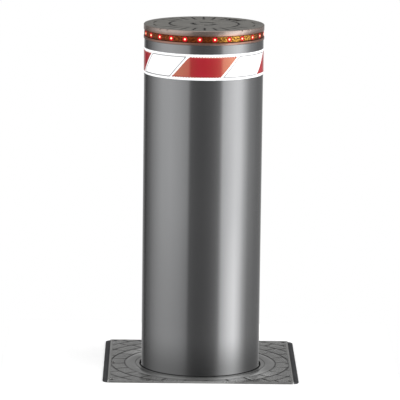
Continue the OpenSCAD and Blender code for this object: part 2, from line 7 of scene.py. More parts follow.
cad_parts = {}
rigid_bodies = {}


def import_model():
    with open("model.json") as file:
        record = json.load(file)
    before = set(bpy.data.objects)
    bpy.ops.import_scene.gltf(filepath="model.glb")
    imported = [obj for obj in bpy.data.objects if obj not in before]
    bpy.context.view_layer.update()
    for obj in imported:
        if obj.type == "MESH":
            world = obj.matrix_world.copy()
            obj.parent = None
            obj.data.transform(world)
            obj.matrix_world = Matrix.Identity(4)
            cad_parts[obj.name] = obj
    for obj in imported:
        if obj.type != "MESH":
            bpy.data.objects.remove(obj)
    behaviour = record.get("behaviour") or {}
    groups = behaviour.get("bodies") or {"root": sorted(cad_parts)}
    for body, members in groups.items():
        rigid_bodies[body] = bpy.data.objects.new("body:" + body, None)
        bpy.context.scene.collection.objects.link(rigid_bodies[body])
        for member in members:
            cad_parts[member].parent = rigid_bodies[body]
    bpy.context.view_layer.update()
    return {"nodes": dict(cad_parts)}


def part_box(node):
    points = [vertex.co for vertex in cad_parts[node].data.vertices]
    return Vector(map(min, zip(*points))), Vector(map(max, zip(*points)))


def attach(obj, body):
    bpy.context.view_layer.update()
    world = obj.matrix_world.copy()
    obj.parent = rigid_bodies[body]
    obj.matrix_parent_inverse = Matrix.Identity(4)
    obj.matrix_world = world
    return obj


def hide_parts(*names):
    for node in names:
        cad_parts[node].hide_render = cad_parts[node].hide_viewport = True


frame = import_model()
nodes = frame["nodes"]
scene = bpy.context.scene

# The camera is a long lens that looks slightly down on the column from the
# front. It is a hair off level and the column stands a little right of centre.
eye = Vector((-0.0912, -7.7073, 1.7746))
heading, dip, roll = 0.01124, -0.17742, 0.0124
ahead = Vector((math.sin(heading) * math.cos(dip), math.cos(heading) * math.cos(dip), math.sin(dip)))
level = Vector((math.cos(heading), -math.sin(heading), 0.0))
upright = level.cross(ahead)
right = math.cos(roll) * level + math.sin(roll) * upright
up = math.cos(roll) * upright - math.sin(roll) * level
camera = bpy.data.objects.new("camera", bpy.data.cameras.new("camera"))
camera.data.sensor_width = 36.0
camera.data.lens = 303.26
camera.data.clip_end = 60.0
camera.matrix_world = Matrix.Translation(eye) @ Matrix((right, up, -ahead)).transposed().to_4x4()
scene.collection.objects.link(camera)
scene.camera = camera
scene.view_settings.view_transform = "Standard"


# The studio is a white room. A grey wall stands behind the camera, a broad soft
# panel on the left and a brighter, narrower one on the right.
def plug(socket, value):
    """Links a Value into a socket, or sets a plain number, colour or vector on it."""
    if isinstance(value, Value):
        socket.id_data.links.new(value.socket, socket)
    elif socket.type == "RGBA":
        socket.default_value = (*value[:3], 1.0)
    else:
        socket.default_value = value


class Value:
    """One output of a node. Python's operators on it add the Math nodes for the sum."""

    def __init__(self, made, output=0):
        self.made, self.socket = made, made.outputs[output]

    def out(self, name):
        return Value(self.made, name)

    def maths(self, operation, *terms):
        made = self.made.id_data.nodes.new("ShaderNodeMath")
        made.operation = operation
        for socket, term in zip(made.inputs, terms):
            plug(socket, term)
        return Value(made)

    def __add__(self, other):
        return self.maths("ADD", self, other)

    def __sub__(self, other):
        return self.maths("SUBTRACT", self, other)

    def __mul__(self, other):
        return self.maths("MULTIPLY", self, other)

    def __truediv__(self, other):
        return self.maths("DIVIDE", self, other)

    def __radd__(self, other):
        return self.maths("ADD", other, self)

    def __rsub__(self, other):
        return self.maths("SUBTRACT", other, self)

    def __rmul__(self, other):
        return self.maths("MULTIPLY", other, self)

    def __rtruediv__(self, other):
        return self.maths("DIVIDE", other, self)

    def sqrt(self):
        return self.maths("SQRT", self)

    def abs(self):
        return self.maths("ABSOLUTE", self)

    def fraction(self):
        return self.maths("FRACT", self)

    def step(self, low, high):
        """0 up to low, 1 from high on, and a smooth rise between. With high under low it is a fall."""
        made = self.made.id_data.nodes.new("ShaderNodeMapRange")
        made.interpolation_type = "SMOOTHSTEP"
        ends = (low, high, 0.0, 1.0) if low < high else (high, low, 1.0, 0.0)
        for socket, term in zip(made.inputs, (self, *ends)):
            plug(socket, term)
        return Value(made)


class Tree:
    """A node tree under construction."""

    def __init__(self, tree):
        self.tree = tree
        tree.nodes.clear()

    def node(self, kind, settings=None, output=0, **sockets):
        """Adds a node of any kind: its settings first, then values or links for its sockets."""
        made = self.tree.nodes.new(kind)
        for key, value in (settings or {}).items():
            if key == "stops":
                while len(made.color_ramp.elements) < len(value):
                    made.color_ramp.elements.new(1.0)
                for element, (place, colour) in zip(made.color_ramp.elements, value):
                    element.position, element.color = place, (*colour, 1.0)
            else:
                setattr(made, key, value)
        for key, value in sockets.items():
            plug(made.inputs[key.replace("_", " ")], value)
        return Value(made, output) if len(made.outputs) else made

    def mix(self, mask, first, second):
        """The colour first where the mask is 0, and second where it is 1."""
        made = self.tree.nodes.new("ShaderNodeMix")
        made.data_type = "RGBA"
        for place, value in zip((0, 6, 7), (mask, first, second)):
            plug(made.inputs[place], value)
        return Value(made, 2)

    def split(self, vector):
        made = self.node("ShaderNodeSeparateXYZ", Vector=vector)
        return made, made.out("Y"), made.out("Z")


# A wall's brightness at each compass angle from the camera, in degrees, as
# (angle, high on the wall, low on the wall). The back is dimmer above the floor.
walls = [(-180, 0.60, 0.60), (-160, 0.40, 0.40), (-145, 0.07, 0.07), (-125, 0.40, 0.38), (-112, 0.80, 0.68),
         (-97, 1.22, 0.95), (-86, 1.48, 1.05), (-66, 1.58, 1.08), (-45, 1.35, 0.98), (-29, 1.05, 0.68),
         (-25, 0.33, 0.26), (-12, 0.23, 0.20), (0, 0.21, 0.19), (15, 0.28, 0.26), (25, 0.42, 0.42),
         (33, 0.66, 0.72), (38, 1.85, 1.70), (55, 2.55, 3.00), (67, 2.95, 3.50), (78, 2.80, 2.50),
         (88, 1.85, 1.35), (100, 0.95, 0.62), (112, 0.68, 0.50), (127, 0.42, 0.38), (150, 0.28, 0.30),
         (165, 0.45, 0.45), (180, 0.60, 0.60)]
ceiling, dim_back = 1.15, 0.28
world = bpy.data.worlds.new("studio")
scene.world = world
world.use_nodes = True
room = Tree(world.node_tree)
aim_x, aim_y, aim_z = room.split(room.node("ShaderNodeTexCoord"))
compass = aim_x.maths("ARCTAN2", aim_x, 0.0 - aim_y) / (2 * math.pi) + 0.5
high_walls, low_walls = (room.node("ShaderNodeValToRGB", {
    "stops": [((wall[0] + 180) / 360, (wall[place],) * 3) for wall in walls]}, Fac=compass) for place in (1, 2))
lit = room.mix(aim_z.step(-0.24, -0.12), low_walls, high_walls)
behind = aim_z.step(0.0, 0.08) * aim_y.step(0.30, 0.65)
lit = room.mix(behind, lit, (dim_back,) * 3)
lit = room.mix(aim_z.step(0.55, 0.92), lit, (ceiling,) * 3)
shown = room.mix(room.node("ShaderNodeLightPath"), lit, (1.0, 1.0, 1.0))
room.node("ShaderNodeOutputWorld", Surface=room.node("ShaderNodeBackground", Color=shown))


# The floor is a pale slab level with the road, with the buried frame let into
# it. The column doesn't mirror it, so that only the walls show in the steel.
class Finish(Tree):
    """A procedural material round one Principled shader, on object coordinates in metres."""

    def __init__(self, name, **constants):
        self.material = bpy.data.materials.new(name)
        self.material.use_nodes = True
        super().__init__(self.material.node_tree)
        self.shader = self.tree.nodes.new("ShaderNodeBsdfPrincipled")
        self.node("ShaderNodeOutputMaterial", Surface=Value(self.shader))
        for key, value in constants.items():
            plug(self.shader.inputs[key.replace("_", " ")], value)
        self.place = self.node("ShaderNodeTexCoord", output="Object")
        self.x, self.y, self.z = self.split(self.place)
        self.r = (self.x * self.x + self.y * self.y).sqrt()
        self.turn = self.x.maths("ARCTAN2", self.y, self.x) / (2 * math.pi)

    def noise(self, scale, detail=3.0, stretch=(1.0, 1.0, 1.0)):
        """Clouds from 0 to 1, about scale of them a metre, finer along the axes with a larger stretch."""
        place = self.node("ShaderNodeMapping", Vector=self.place, Scale=stretch)
        return self.node("ShaderNodeTexNoise", Vector=place, Scale=scale, Detail=detail)

    def feed(self, name, value):
        plug(self.shader.inputs[name], value)

    def relief(self, height, depth):
        """Bumps where a height of 1 stands depth metres above a height of 0."""
        self.feed("Normal", self.node("ShaderNodeBump", Height=height, Distance=depth))

    def skin(self, dark, light, patches, rough, grain, depth):
        """The start of most finishes: two shades in patches, a range of roughness and a fine grain."""
        cloud = self.noise(patches).step(0.3, 0.7)
        fine = self.noise(grain, 2.0)
        self.colour = self.mix(cloud, dark, light)
        self.feed("Base Color", self.colour)
        self.feed("Roughness", rough[0] + (rough[1] - rough[0]) * fine)
        self.relief(fine, depth)
        return self

    def tint(self, mask, colour):
        """Lays a colour over what is there, where the mask is 1."""
        self.colour = self.mix(mask, self.colour, colour)
        self.feed("Base Color", self.colour)
        return self

    def sectors(self, middle, low, high):
        """Two opposite sectors round a middle angle in degrees: a step on the cosine of twice the angle from it."""
        angle = self.turn * (4 * math.pi) + math.radians(-2.0 * middle)
        return angle.maths("COSINE", angle).step(low, high)

    def on(self, *things):
        for thing in things:
            thing = nodes[thing] if isinstance(thing, str) else thing
            thing.data.materials.clear()
            thing.data.materials.append(self.material)


def rounded_rectangle(low, high, radius, corner_points=9):
    """The outline of a rectangle from corner to corner, with each corner a quarter circle of the radius."""
    angle = np.linspace(0, np.pi / 2, corner_points)
    arc = np.stack([np.cos(angle), np.sin(angle)], -1) * radius
    quarter = [arc @ np.array([[c, s], [-s, c]]) for c, s in ((1, 0), (0, 1), (-1, 0), (0, -1))]
    middles = [(high.x - radius, high.y - radius), (low.x + radius, high.y - radius),
               (low.x + radius, low.y + radius), (high.x - radius, low.y + radius)]
    return np.concatenate([part + middle for part, middle in zip(quarter, middles)])


def slab(name, rings):
    """A slab from rings of equal count, each joined to the next by quads, point by point, and closed on itself."""
    count = len(rings[0][0])
    points = np.concatenate([np.concatenate([flat, np.full((count, 1), z)], -1) for flat, z in rings])
    k = np.arange(len(points)).reshape(len(rings), count)
    k2, k3 = np.roll(k, -1, 0), np.roll(k, -1, 1)
    faces = np.stack([k, k2, np.roll(k2, -1, 1), k3], -1).reshape(-1, 4)
    made = bpy.data.objects.new(name, bpy.data.meshes.new(name))
    made.data.from_pydata(points.tolist(), [], faces.tolist())
    scene.collection.objects.link(made)
    made.visible_glossy = False
    return made


floor_half, floor_t, cover_corner = 0.46, 0.03, 0.018
slab_low, slab_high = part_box("top_frame")
hole = rounded_rectangle(slab_low, slab_high, cover_corner)
rim = rounded_rectangle(Vector((-floor_half, -floor_half)), Vector((floor_half, floor_half)), 0.001)
road = slab("road", [(hole, 0.0), (rim, 0.0), (rim, -floor_t), (hole, -floor_t)])
pale = Finish("pale_floor", Emission_Strength=0.25)
pale.skin((0.93, 0.93, 0.93), (0.96, 0.96, 0.96), 30.0, (0.8, 0.9), 900.0, 0.0001)
# Below the road's top, on the slab's sides and the pit floor, the floor is a darker grey with no glow. On the slab's
# sides this is painted shade.
below = pale.z.step(-0.0002, -0.0008)
pale.tint(below, (0.70, 0.69, 0.67))
pale.feed("Emission Color", pale.mix(below, (1.0, 1.0, 1.0), (0.0, 0.0, 0.0)))
pit_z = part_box("bottom_plate")[0].z
wide, narrow = (rounded_rectangle(Vector((-side, -side)), Vector((side, side)), 0.001) for side in (0.62, 0.01))
pit = slab("pit_floor", [(narrow, pit_z), (wide, pit_z), (wide, pit_z - floor_t), (narrow, pit_z - floor_t)])
pale.on(road, pit)


# The pit frame is welded up from square steel posts, two stiffener plates, a
# flanged top and a bottom plate, then dipped in zinc, which sets in spangles.
def soften(*names, width=0.0005, angle=32):
    """Joins a CAD node's loose triangles and rounds its sharp edges, in modifiers only."""
    for name in names:
        thing = nodes[name]
        thing.data.polygons.foreach_set("use_smooth", [True] * len(thing.data.polygons))
        thing.modifiers.new("join", "WELD").merge_threshold = 0.00001
        edge = thing.modifiers.new("edge", "BEVEL")
        edge.width, edge.segments = width, 2
        edge.limit_method, edge.angle_limit = "ANGLE", math.radians(angle)
        edge.harden_normals = True


soften("top_frame", "guide_posts", "stiffener_plates", "bottom_plate", width=0.0008)
zinc = Finish("zinc_dip", Metallic=0.9)
spangle = zinc.node("ShaderNodeTexVoronoi", Vector=zinc.place, Scale=110.0)
facet, _, _ = zinc.split(spangle.out("Color"))
zinc.skin((0.20, 0.21, 0.22), (0.27, 0.28, 0.29), 9.0, (0.36, 0.5), 240.0, 0.0002)
zinc.tint(facet * 0.45, (0.38, 0.40, 0.41))
stain = zinc.noise(5.0, 5.0, (1.0, 1.0, 0.25)).step(0.56, 0.75)
zinc.tint(stain * zinc.z.step(-0.1, -0.9) * 0.6, (0.17, 0.13, 0.09))
zinc.feed("Roughness", 0.34 + 0.2 * facet + 0.15 * stain)
zinc.on("top_frame", "guide_posts", "stiffener_plates", "bottom_plate")


def piece(name, points, faces, body, slot):
    """A smooth mesh piece from rows of points in metres and rows of corner numbers."""
    mesh = bpy.data.meshes.new(name)
    points, faces = np.asarray(points, np.float32), np.asarray(faces, np.int32)
    mesh.vertices.add(len(points))
    mesh.vertices.foreach_set("co", points.ravel())
    mesh.loops.add(faces.size)
    mesh.loops.foreach_set("vertex_index", faces.ravel())
    mesh.polygons.add(len(faces))
    mesh.polygons.foreach_set("loop_start", np.arange(0, faces.size, faces.shape[1], dtype=np.int32))
    mesh.polygons.foreach_set("use_smooth", np.ones(len(faces), bool))
    mesh.update(calc_edges=True)
    thing = bpy.data.objects.new(name, mesh)
    scene.collection.objects.link(thing)
    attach(thing, body)
    return thing


def torus_faces(rows, columns):
    """Corner numbers of a grid that closes on itself both ways, point (i, j) being number i * columns + j."""
    i, j = np.meshgrid(np.arange(rows), np.arange(columns), indexing="ij")
    i2, j2 = (i + 1) % rows, (j + 1) % columns
    return np.stack([i * columns + j, i2 * columns + j, i2 * columns + j2, i * columns + j2], -1).reshape(-1, 4)


def many(points, faces, copies):
    """Points and faces of equal closed pieces, one for each row block of copies."""
    count = len(points[0])
    blocks = [faces + count * k for k in range(copies)]
    return np.concatenate(points), np.concatenate(blocks)


# Weld beads run round each post where it meets the bottom plate and the top
# frame. A bead is laid in overlapping ripples about 3 mm long.
post_low, post_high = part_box("guide_posts")
post_side, post_inner_r = 0.035, 0.1625
post_middle = post_inner_r + post_side / 2
bead_r, ripple, sunk = 0.0032, 0.003, 0.0005
bead_steps, bead_ring = 188, 8


def bead(centre, level, facing):
    """A closed square bead round a post: along the square's edge by s, round the bead by a,
    a point is edge(s) + outward(s) * r cos a, level + facing * r sin a, with r rippled along s."""
    s = np.arange(bead_steps) / bead_steps * 4
    side, along = np.floor(s).astype(int), s - np.floor(s) - 0.5
    normal = np.array([(1, 0), (0, 1), (-1, 0), (0, -1)])[side]
    tangent = np.array([(0, 1), (-1, 0), (0, -1), (1, 0)])[side]
    edge = normal * post_side / 2 + tangent * along[:, None] * post_side
    corner = (np.abs(along) * 2) ** 8
    outward = normal + tangent * (np.sign(along) * corner)[:, None]
    r = bead_r * (0.86 + 0.14 * np.abs(np.sin(np.pi * s * post_side / ripple)))
    a = np.arange(bead_ring) / bead_ring * 2 * np.pi
    flat = edge[:, None] + outward[:, None] * (r[:, None] * np.cos(a))[..., None]
    turn = np.array([[centre[0], -centre[1]], [centre[1], centre[0]]]) / math.hypot(*centre)
    flat = flat @ turn.T + centre
    z = level + facing * r[:, None] * np.sin(a)
    return np.concatenate([flat, z[..., None]], -1).reshape(-1, 3)


centres = [np.array((math.cos(a), math.sin(a))) * post_middle for a in np.radians((45, 135, 225, 315))]
beads = [bead(c, level, 1.0) for c in centres for level in (post_low.z + sunk, post_high.z - sunk)]
welds = piece("weld_beads", *many(beads, torus_faces(bead_steps, bead_ring), len(beads)), "casing", "galvanised")
seam = Finish("weld_zinc", Metallic=0.85)
seam.skin((0.16, 0.165, 0.17), (0.30, 0.31, 0.32), 160.0, (0.3, 0.5), 900.0, 0.0002).on(welds)

# Guide rails and the drain's strainer are stainless bar and plate, brushed
# lengthwise. Countersunk screws hold the rails to the posts.
soften("guide_rails", "drain_strainer", "rail_screws", width=0.0004)
brushed = Finish("brushed_stainless", Metallic=1.0)
brushed.skin((0.50, 0.50, 0.49), (0.62, 0.62, 0.61), 12.0, (0.2, 0.36), 500.0, 0.00005)
lines = brushed.noise(1500.0, 2.0, (1.0, 1.0, 0.02))
brushed.tint(lines.step(0.45, 0.75) * 0.35, (0.36, 0.36, 0.36))
brushed.relief(lines, 0.0001)
brushed.on("guide_rails", "drain_strainer")
plated = Finish("zinc_plate", Metallic=1.0)
plated.skin((0.52, 0.51, 0.47), (0.66, 0.66, 0.64), 70.0, (0.22, 0.38), 700.0, 0.00005)
soften("guide_ring_screws", "foot_bolts", "shoe_screws", "unit_screws", "head_bolts", width=0.0003)
plated.on("rail_screws", "guide_ring_screws", "foot_bolts", "shoe_screws", "unit_screws", "head_bolts")

# The rod's foot, the stop blocks, the spider under the tube and the bulkhead are mild steel in grey primer, chipped
# in small scattered spots.
soften("rod_foot", "stop_blocks", "bottom_spider", "bulkhead", width=0.0008)
primer = Finish("grey_primer", Metallic=0.0)
primer.skin((0.085, 0.095, 0.105), (0.125, 0.135, 0.145), 25.0, (0.42, 0.6), 1200.0, 0.00008)
chips = primer.noise(420.0, 4.0).step(0.70, 0.74)
primer.tint(chips, (0.30, 0.16, 0.09))
primer.on("rod_foot", "stop_blocks", "bottom_spider", "bulkhead")

# The stop pads, bump stops and lens gaskets are moulded in black rubber. They
# carry a dusty bloom.
soften("stop_pads", "bump_stops", "lens_gaskets", width=0.0006)
rubber = Finish("black_rubber", Specular_IOR_Level=0.35)
rubber.skin((0.012, 0.012, 0.013), (0.022, 0.022, 0.022), 18.0, (0.55, 0.8), 1600.0, 0.0001)
rubber.tint(rubber.noise(7.0, 6.0).step(0.55, 0.8) * 0.5, (0.06, 0.055, 0.05))
rubber.on("stop_pads", "bump_stops", "lens_gaskets")

# The wiring box is moulded in light grey plastic, with a lid and two black
# cable glands. The limit switches are moulded in blue.
soften("junction_box", "junction_lid", "cable_glands", "limit_switches", width=0.001)
grey_box = Finish("grey_moulding")
grey_box.skin((0.40, 0.41, 0.41), (0.46, 0.47, 0.47), 15.0, (0.38, 0.5), 2200.0, 0.00008)
grey_box.on("junction_box", "junction_lid")
black_box = Finish("black_moulding")
black_box.skin((0.015, 0.015, 0.015), (0.03, 0.03, 0.03), 60.0, (0.35, 0.5), 2000.0, 0.00008)
black_box.on("cable_glands")
blue_box = Finish("blue_moulding")
blue_box.skin((0.02, 0.055, 0.20), (0.03, 0.075, 0.25), 40.0, (0.35, 0.5), 2000.0, 0.00008)
blue_box.on("limit_switches")

# The guide ring and the guide shoes are turned and milled from nylon, and
# carry the fine rings that the tool leaves.
soften("guide_ring", "guide_shoes", width=0.0006)
nylon = Finish("milled_nylon", Subsurface_Weight=0.1, Subsurface_Radius=(0.004, 0.003, 0.002))
nylon.skin((0.62, 0.58, 0.46), (0.70, 0.67, 0.56), 14.0, (0.4, 0.55), 900.0, 0.00004)
rings = ((nylon.z * 1250.0).fraction() - 0.5).abs() * 2.0
nylon.relief(rings + nylon.noise(900.0), 0.00006)
nylon.on("guide_ring", "guide_shoes")

# The cover plate is cast iron under a grey dip coat. Its top carries a paving pattern of cast grooves, with dirt
# along them, and the faces below its top are painted near black as shade in the grooves. Near the bore, painted
# highlights lie in two pairs of opposite sectors: a broad pair at front and back, and a brighter pair towards the
# front right and back left.
soften("cover_plate", width=0.0003, angle=40)
plate_low, plate_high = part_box("cover_plate")
front_sheen_angle, glint_angle = -90.0, -56.0
cast = Finish("cast_cover", Metallic=0.8, Specular_IOR_Level=0.6)
cast.skin((0.36, 0.36, 0.355), (0.43, 0.43, 0.42), 22.0, (0.22, 0.32), 1400.0, 0.00003)
fine_dirt = cast.noise(160.0, 6.0)
cast.tint(fine_dirt.step(0.52, 0.72) * 0.15, (0.24, 0.235, 0.225))
near_bore = cast.r.step(0.215, 0.185)
# Painted highlights near the bore: a broad pair of sectors at front and back, then a brighter pair towards the front
# right and back left.
cast.tint(cast.sectors(front_sheen_angle, -0.1, 0.7) * near_bore * 0.8, (0.62, 0.62, 0.61))
cast.tint(cast.sectors(glint_angle, 0.40, 0.95) * near_bore * (0.7 + 0.3 * fine_dirt), (0.90, 0.90, 0.89))
course_0, course_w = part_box("collar_ring")[1].x, 0.033
joint_steps, joint_shifts = (15, 15, 12, 12), (4, 11.5, 2, 8)
bare, grooved = 0.0055, 0.0065
within = cast.x.abs().step(plate_high.x - bare, plate_high.x - grooved)
within = within * cast.y.step(plate_high.y - bare, plate_high.y - grooved)
within = within * cast.y.step(plate_low.y + bare, plate_low.y + grooved)
# Dirt lies along the rings between courses, and along each course's joints.
off_ring = (((cast.r - course_0) / course_w + 0.5).fraction() - 0.5).abs() * course_w
dirt = off_ring.step(0.0028, 0.0016)
for k, (step, shift) in enumerate(zip(joint_steps, joint_shifts)):
    off_joint = (((cast.turn * 360 - shift) / step + 0.5).fraction() - 0.5).abs() * cast.r * math.radians(step)
    course_middle = course_0 + (k + 0.5) * course_w
    own = (cast.r - course_middle).abs().step(course_w / 2, course_w / 2 - 0.0005)
    dirt = dirt + own * off_joint.step(0.0034, 0.0020)
cast.tint(dirt * within * (0.75 + 0.25 * fine_dirt.step(0.3, 0.6)), (0.022, 0.021, 0.020))
# Painted shade: inside the border, every face lower than the top is made near black, in the grooves.
cast.tint(within * cast.z.step(plate_high.z - 0.0003, plate_high.z - 0.0009), (0.010, 0.009, 0.009))
pits = cast.noise(2600.0, 1.0).step(0.66, 0.72)
cast.relief(cast.noise(1400.0, 3.0) - pits, 0.00004)
cast.on("cover_plate")

# The side strips are ribbed rubber let in at the cover's two sides. A slim rolled bead of bright steel lies beside
# each one, and a black rubber cord fills the joint between them as painted shade.
soften("side_strips", width=0.0004)
strip = Finish("ribbed_rubber", Specular_IOR_Level=0.4)
strip.skin((0.016, 0.017, 0.019), (0.030, 0.031, 0.034), 45.0, (0.45, 0.65), 1500.0, 0.0001)
strip.on("side_strips")
bar_ring, taper = 12, 0.008


def bar(start, end, r):
    """A round bar: by t along it and a round it, a point is start + t (end - start) + r (side cos a + up sin a).
    The radius falls to nothing as a circle over a taper of t at each end, and the weld closes that pole."""
    t = np.concatenate([[0, 0.0006, 0.0018, 0.004], np.linspace(taper, 1 - taper, 30), [0.996, 0.9982, 0.9994, 1]])
    swell = np.sqrt(1 - (1 - np.clip(np.minimum(t, 1 - t) / taper, 0, 1)) ** 2)
    a = np.arange(bar_ring) / bar_ring * 2 * np.pi
    start, end = np.array(start), np.array(end)
    side = np.cross(end - start, (0, 0, 1)) / np.linalg.norm(end - start)
    ring = side * np.cos(a)[:, None] + np.array((0, 0, 1)) * np.sin(a)[:, None]
    return (start + t[:, None, None] * (end - start) + r * swell[:, None, None] * ring).reshape(-1, 3)


def side_bars(x, inset, level, r):
    """Two equal bars along the cover's depth, at x either side and inset from its front and back edges."""
    return [bar((side * x, slab_low.y + inset, level), (side * x, slab_high.y - inset, level), r) for side in (-1, 1)]


joint_x = slab_high.x - 0.0114
# The cords are black rubber laid along the joint, standing in for the shade in it.
slot_shade_bars = side_bars(joint_x, 0.006, 0.0042, 0.0009)
bright_bars = side_bars(joint_x - 0.0024, 0.008, 0.0050, 0.0011)
k = np.arange(len(slot_shade_bars[0])).reshape(-1, bar_ring)
bar_faces = np.stack([k[:-1], k[1:], np.roll(k, -1, 1)[1:], np.roll(k, -1, 1)[:-1]], -1).reshape(-1, 4)
cords = piece("strip_cords", *many(slot_shade_bars, bar_faces, 2), "casing", "seal_rubber")
beadings = piece("strip_beads", *many(bright_bars, bar_faces, 2), "casing", "collar")
for thing in (cords, beadings):
    thing.modifiers.new("join", "WELD").merge_threshold = 0.00001
rubber.on(cords)
rolled = Finish("rolled_bead", Metallic=0.9)
rolled.skin((0.40, 0.40, 0.39), (0.52, 0.52, 0.50), 90.0, (0.25, 0.4), 1400.0, 0.00005)
rolled.on(beadings)

# Six socket screws of blackened steel hold the cover down. They have begun to
# rust.
soften("cover_screws", width=0.0003)
blackened = Finish("blackened_steel", Metallic=0.9)
blackened.skin((0.035, 0.034, 0.033), (0.07, 0.068, 0.066), 200.0, (0.4, 0.6), 1500.0, 0.00008)
blackened.tint(blackened.noise(300.0, 4.0).step(0.6, 0.72), (0.10, 0.05, 0.03))
blackened.on("cover_screws")


# The collar round the bore is a turned iron ring with a low crown, coated like the cover and polished. Painted
# highlights lie on it in a broad pair of sectors at front and back, and a brighter pair towards the front right and
# back left.
def turned(name, outline, body, slot, around=288):
    """A solid of revolution: point (i, j) is outline point i, as (r, z), at the angle 2 pi j / around.
    The outline is closed and has the solid on its left, with r to the right and z up."""
    outline = np.asarray(outline, float)
    angle = 2 * np.pi * np.arange(around) / around
    r, z = outline[:, :1], outline[:, 1:]
    points = np.stack([r * np.cos(angle), r * np.sin(angle), z + 0 * angle], -1).reshape(-1, 3)
    return piece(name, points, torus_faces(len(outline), around)[:, [0, 3, 2, 1]], body, slot)


def eased(corners, radius, steps=5):
    """A closed outline with each corner rounded by a parabola that touches its two sides:
    (1 - t)^2 start + 2 t (1 - t) corner + t^2 end, with start and end a radius away from the corner."""
    corners = np.asarray(corners, float)
    t = np.linspace(0, 1, steps)[:, None]
    out = []
    for corner, a, b in zip(corners, np.roll(corners, 1, 0), np.roll(corners, -1, 0)):
        reach_a, reach_b = np.linalg.norm(a - corner), np.linalg.norm(b - corner)
        start = corner + (a - corner) * min(radius / reach_a, 0.45)
        end = corner + (b - corner) * min(radius / reach_b, 0.45)
        out.append((1 - t) ** 2 * start + 2 * t * (1 - t) * corner + t ** 2 * end)
    return np.concatenate(out)


collar_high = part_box("collar_ring")[1]
collar_r = collar_high.x
collar_bore, collar_shoulder = 0.151, 0.0036
crown_half, crown_rise = 0.0116, 0.0018
crown_middle = (collar_r + collar_bore) / 2
crown = np.linspace(-1, 1, 15)
crown_line = np.stack([crown_middle + crown * crown_half, collar_high.z - crown_rise * crown ** 2], -1)
collar_line = [(collar_bore, 0.0), (collar_r, 0.0), (collar_r, collar_shoulder), *crown_line[::-1],
               (collar_bore, collar_shoulder)]
collar = turned("collar", collar_line, "casing", "collar", 360)
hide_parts("collar_ring")
polished = Finish("polished_collar", Metallic=0.85)
polished.skin((0.42, 0.42, 0.415), (0.48, 0.48, 0.475), 20.0, (0.18, 0.24), 1100.0, 0.00002)
polished.tint(polished.noise(90.0, 6.0).step(0.55, 0.75) * 0.3, (0.32, 0.315, 0.30))
# Painted highlights: a broad pair of sectors at front and back, then a brighter pair towards the front right and back
# left.
painted_sheen = polished.sectors(front_sheen_angle, -0.1, 0.7) * polished.r.step(0.142, 0.155)
polished.tint(painted_sheen * 0.9, (0.66, 0.66, 0.65))
painted_sheen = polished.sectors(glint_angle, 0.30, 0.90) * polished.r.step(0.142, 0.158)
polished.tint(painted_sheen * (0.75 + 0.25 * polished.noise(240.0)), (0.90, 0.90, 0.89))
for joint_r in (collar_bore + 0.0004, collar_r - 0.0004):
    polished.tint((polished.r - joint_r).abs().step(0.0014, 0.0008), (0.030, 0.029, 0.028))
polished.on(collar)

# The wiper seal is a rubber ring whose upright lip runs close round the rising
# column. A slim grey ring clamps it down.
lip_r, bore_r, hole_r, fit = 0.1393, 0.140, 0.158, 0.0002
seal_foot, seal_body, clamp_seat, lip_top = -0.0078, 0.005, 0.0028, 0.0054
seal = turned("seal_ring", eased([
    (lip_r, 0.0012), (bore_r + 0.001, 0.0), (bore_r + seal_body, 0.0), (bore_r + seal_body, seal_foot),
    (hole_r - fit, seal_foot), (hole_r - fit, -fit), (collar_bore - fit, -fit), (collar_bore - fit, clamp_seat),
    (bore_r + 0.0024, clamp_seat), (bore_r + 0.0018, lip_top), (lip_r, lip_top)],
    0.0004), "casing", "seal_rubber", 288)
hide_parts("wiper_seal")
lip = Finish("seal_rubber", Specular_IOR_Level=0.06)
lip.skin((0.008, 0.008, 0.008), (0.014, 0.014, 0.014), 30.0, (0.7, 0.85), 1600.0, 0.0001)
lip.on(seal)
clamp_in, clamp_out, clamp_low = bore_r + 0.0024, collar_bore - 0.0003, 0.0030
clamp = turned("clamp_ring", eased([
    (clamp_in, clamp_low), (clamp_out, clamp_low), (clamp_out, 0.0046), (clamp_in, 0.0042)],
    0.0006), "casing", "collar", 288)
polished.on(clamp)
# The column mirrors only the studio's walls, so nothing of the casing shows in it.
buried = [thing for name, thing in nodes.items() if thing.parent and thing.parent.name == "body:casing"]
for thing in (*buried, seal, clamp, collar, cords, beadings, welds):
    thing.visible_glossy = False

# The column is a welded steel tube under a dark grey powder coat with metal flake. Towards its foot the coat is
# painted darker as shade, and is rougher. Its cut ends are eased.
tube_low, tube_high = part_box("bollard_tube")
tube_r = tube_high.x
tube_wall, tube_ease = 0.006, 0.001
tube_in_r = tube_r - tube_wall
column = turned("column_tube", eased([
    (tube_in_r, tube_low.z), (tube_r, tube_low.z), (tube_r, tube_high.z), (tube_in_r, tube_high.z)],
    tube_ease), "column", "column_steel", 360)
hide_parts("bollard_tube")
coat = Finish("column_coat", Metallic=0.9)
flake = coat.noise(2600.0, 1.0)
shade = coat.noise(7.0, 3.0, (1.0, 1.0, 0.3)).step(0.3, 0.7)
coat.colour = coat.mix(shade, (0.196, 0.198, 0.202), (0.212, 0.213, 0.216))
# Painted shade: over the lowest 10 cm the coat darkens towards the foot, and roughens.
foot_shade_and_scuff = coat.z.step(0.100, 0.008) * coat.z.step(-0.02, 0.0)
coat.colour = coat.mix(foot_shade_and_scuff, coat.colour, (0.112, 0.113, 0.114))
coat.feed("Base Color", coat.colour)
coat.feed("Roughness", 0.12 + 0.03 * flake + 0.115 * foot_shade_and_scuff)
coat.relief(flake, 0.000004)
coat.on(column)

